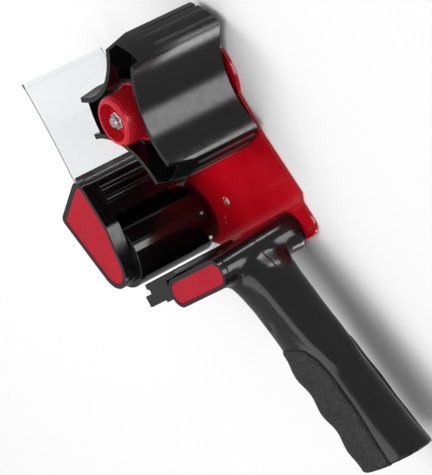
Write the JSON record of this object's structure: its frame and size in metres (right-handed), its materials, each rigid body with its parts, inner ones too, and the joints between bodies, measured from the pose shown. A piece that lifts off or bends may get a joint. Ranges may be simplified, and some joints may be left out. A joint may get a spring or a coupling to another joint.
{
  "type": "tape dispenser",
  "caption": "Hand-held packing tape dispenser: braked tape hub, pressing roller, serrated cutter with clear hold-down flap, and raked handle on a steel side plate.",
  "frame": {"origin": "on the hub axis, at the outer face of the side plate, which is the face the dispenser lies on", "axes": "+Z along the hub axis from the side plate to the open side, +X back towards the palm, +Y up, away from the grip"},
  "size_m": [0.1516, 0.2349, 0.059],
  "materials": {
    "red_paint": "smooth gloss enamel over sheet steel",
    "black_gloss": "glossy moulded plastic",
    "black_matte": "fine satin moulded plastic",
    "roller_black": "smooth polished sleeve",
    "red_plastic": "moulded red plastic, slightly translucent",
    "red_panel": "plain coloured panel with a fine satin surface",
    "zinc_steel": "bright zinc plate",
    "spring_steel": "drawn spring wire",
    "blade_steel": "ground steel strip",
    "fibre": "pressed fibre",
    "nylon": "natural nylon",
    "clear_film": "clear flexible sheet",
    "soft_grip": "pebbled soft elastomer"
  },
  "bodies": {
    "frame": {"side_plate": "red_paint", "hub_axle": "zinc_steel", "friction_washer": "fibre", "brake_washer": "zinc_steel", "tension_spring": "spring_steel", "roller_axle": "zinc_steel", "roller_nut": "zinc_steel", "head_casing": "black_gloss", "head_screws": "zinc_steel", "blade": "blade_steel", "blade_screws": "zinc_steel", "flap_clamp": "black_matte", "clamp_screws": "zinc_steel", "head_cover": "black_gloss", "cover_screws": "zinc_steel", "head_label": "red_panel", "handle_inner_shell": "black_gloss", "handle_outer_shell": "black_gloss", "grip_pad": "soft_grip", "handle_cap": "black_gloss", "handle_label": "red_panel", "handle_screws": "zinc_steel", "shell_screws": "zinc_steel"},
    "hub": {"hub_core": "black_gloss", "hub_bush": "red_plastic"},
    "knob_washer": {"spring_washer": "zinc_steel"},
    "knob": {"tension_knob": "red_plastic", "knob_nut": "zinc_steel"},
    "roller": {"roller_sleeve": "roller_black", "roller_core": "black_matte", "roller_bushes": "nylon"},
    "flap": {"flap": "clear_film"}
  },
  "joints": [
    {"name": "hub_spin", "type": "hinge", "parent": "frame", "child": "hub", "pos_m": [0, 0, 0.03], "axis": [0, 0, 1], "continuous": true},
    {"name": "roller_spin", "type": "hinge", "parent": "frame", "child": "roller", "pos_m": [-0.0759, -0.0538, 0.028], "axis": [0, 0, 1], "continuous": true},
    {"name": "knob_travel", "type": "slide", "parent": "frame", "child": "knob_washer", "axis": [0, 0, 1], "range_m": [-0.002, 0.002], "deforming": ["tension_spring"]},
    {"name": "knob_turn", "type": "hinge", "parent": "knob_washer", "child": "knob", "pos_m": [0, 0, 0.05], "axis": [0, 0, 1], "range_deg": [-722, 722]},
    {"name": "flap_bend", "type": "hinge", "parent": "frame", "child": "flap", "pos_m": [-0.0755, -0.0142, 0.03], "axis": [0, 0, 1], "range_deg": [-20, 20], "stiffness_Nm_per_rad": 0.02}
  ],
  "couplings": [
    {"joint": "knob_turn", "follows": "knob_travel", "rad_per_m": 6283.2}
  ]
}
